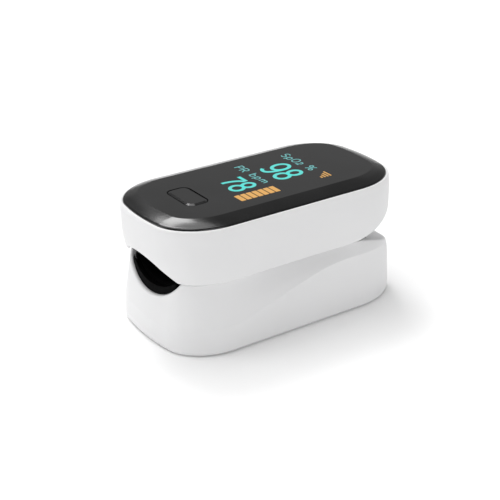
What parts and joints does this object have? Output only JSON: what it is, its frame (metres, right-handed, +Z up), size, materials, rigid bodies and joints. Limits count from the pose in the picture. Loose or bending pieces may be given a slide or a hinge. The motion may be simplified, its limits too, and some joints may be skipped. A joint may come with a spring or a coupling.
{
  "type": "fingertip pulse oximeter",
  "caption": "Clip with two hinged halves that closes on a finger, black display panel with a power button on top, finger channel between the halves and a sliding battery door underneath.",
  "frame": {"origin": "bottom centre of the closed object, on the surface it stands on", "axes": "+X from the finger opening to the hinge end, +Y across to the wearer's left, +Z up through the display"},
  "size_m": [0.0617, 0.0332, 0.0301],
  "materials": {
    "white_shell": "white ABS, satin gloss",
    "black_lens": "piano-black gloss acrylic",
    "black_plastic": "matt black ABS",
    "black_silicone": "matt black silicone",
    "spring_steel": "drawn spring steel",
    "nickel_contact": "nickel plated",
    "board_green": "solder mask on glass epoxy",
    "component_black": "moulded epoxy",
    "component_tan": "ceramic chip parts",
    "flex_amber": "amber polyimide",
    "clear_window": "clear red-tinted window",
    "led_die": "clear moulded emitter",
    "display_glass": "black display glass",
    "cell_sleeve": "plain printed sleeve"
  },
  "bodies": {
    "base": {"lower_shell": "white_shell", "lower_inner_cover": "black_plastic", "lower_finger_pad": "black_silicone", "sensor_window": "clear_window", "sensor_board": "board_green", "photodiode": "component_black", "battery_right": "cell_sleeve", "battery_left": "cell_sleeve", "battery_bridge_contact": "nickel_contact", "battery_positive_contact": "nickel_contact", "battery_negative_contact": "nickel_contact", "battery_springs": "nickel_contact", "lanyard_eyelet": "white_shell", "hinge_shaft": "spring_steel", "torsion_spring_right": "spring_steel", "torsion_spring_left": "spring_steel", "lower_screws": "spring_steel", "flex_cable": "flex_amber"},
    "upper_clip": {"upper_shell": "white_shell", "upper_inner_cover": "black_plastic", "upper_finger_pad": "black_silicone", "upper_screws": "spring_steel", "emitter_window": "clear_window", "emitter_leds": "led_die", "emitter_board": "board_green", "main_board": "board_green", "controller_chip": "component_black", "passive_components": "component_tan", "flex_connector": "component_black", "buzzer": "component_black", "tact_switch": "component_black", "display_frame": "black_plastic", "oled_display": "display_glass", "front_panel": "black_lens"},
    "button": {"power_button": "black_lens", "switch_plunger": "component_black"},
    "battery_cover": {"battery_door": "white_shell"}
  },
  "joints": [
    {"name": "clip_hinge", "type": "hinge", "parent": "base", "child": "upper_clip", "pos_m": [0.0175, 0, 0.016], "axis": [0, 1, 0], "range_deg": [0, 20], "stiffness_Nm_per_rad": 0.15, "springref_deg": -5.73, "deforming": ["torsion_spring_right", "torsion_spring_left", "flex_cable"]},
    {"name": "button_press", "type": "slide", "parent": "upper_clip", "child": "button", "axis": [0, 0, -1], "range_m": [0, 0.0005], "stiffness_N_per_m": 1000, "springref_m": -0.0003},
    {"name": "battery_slide", "type": "slide", "parent": "base", "child": "battery_cover", "axis": [1, 0, 0], "range_m": [0, 0.06]}
  ]
}
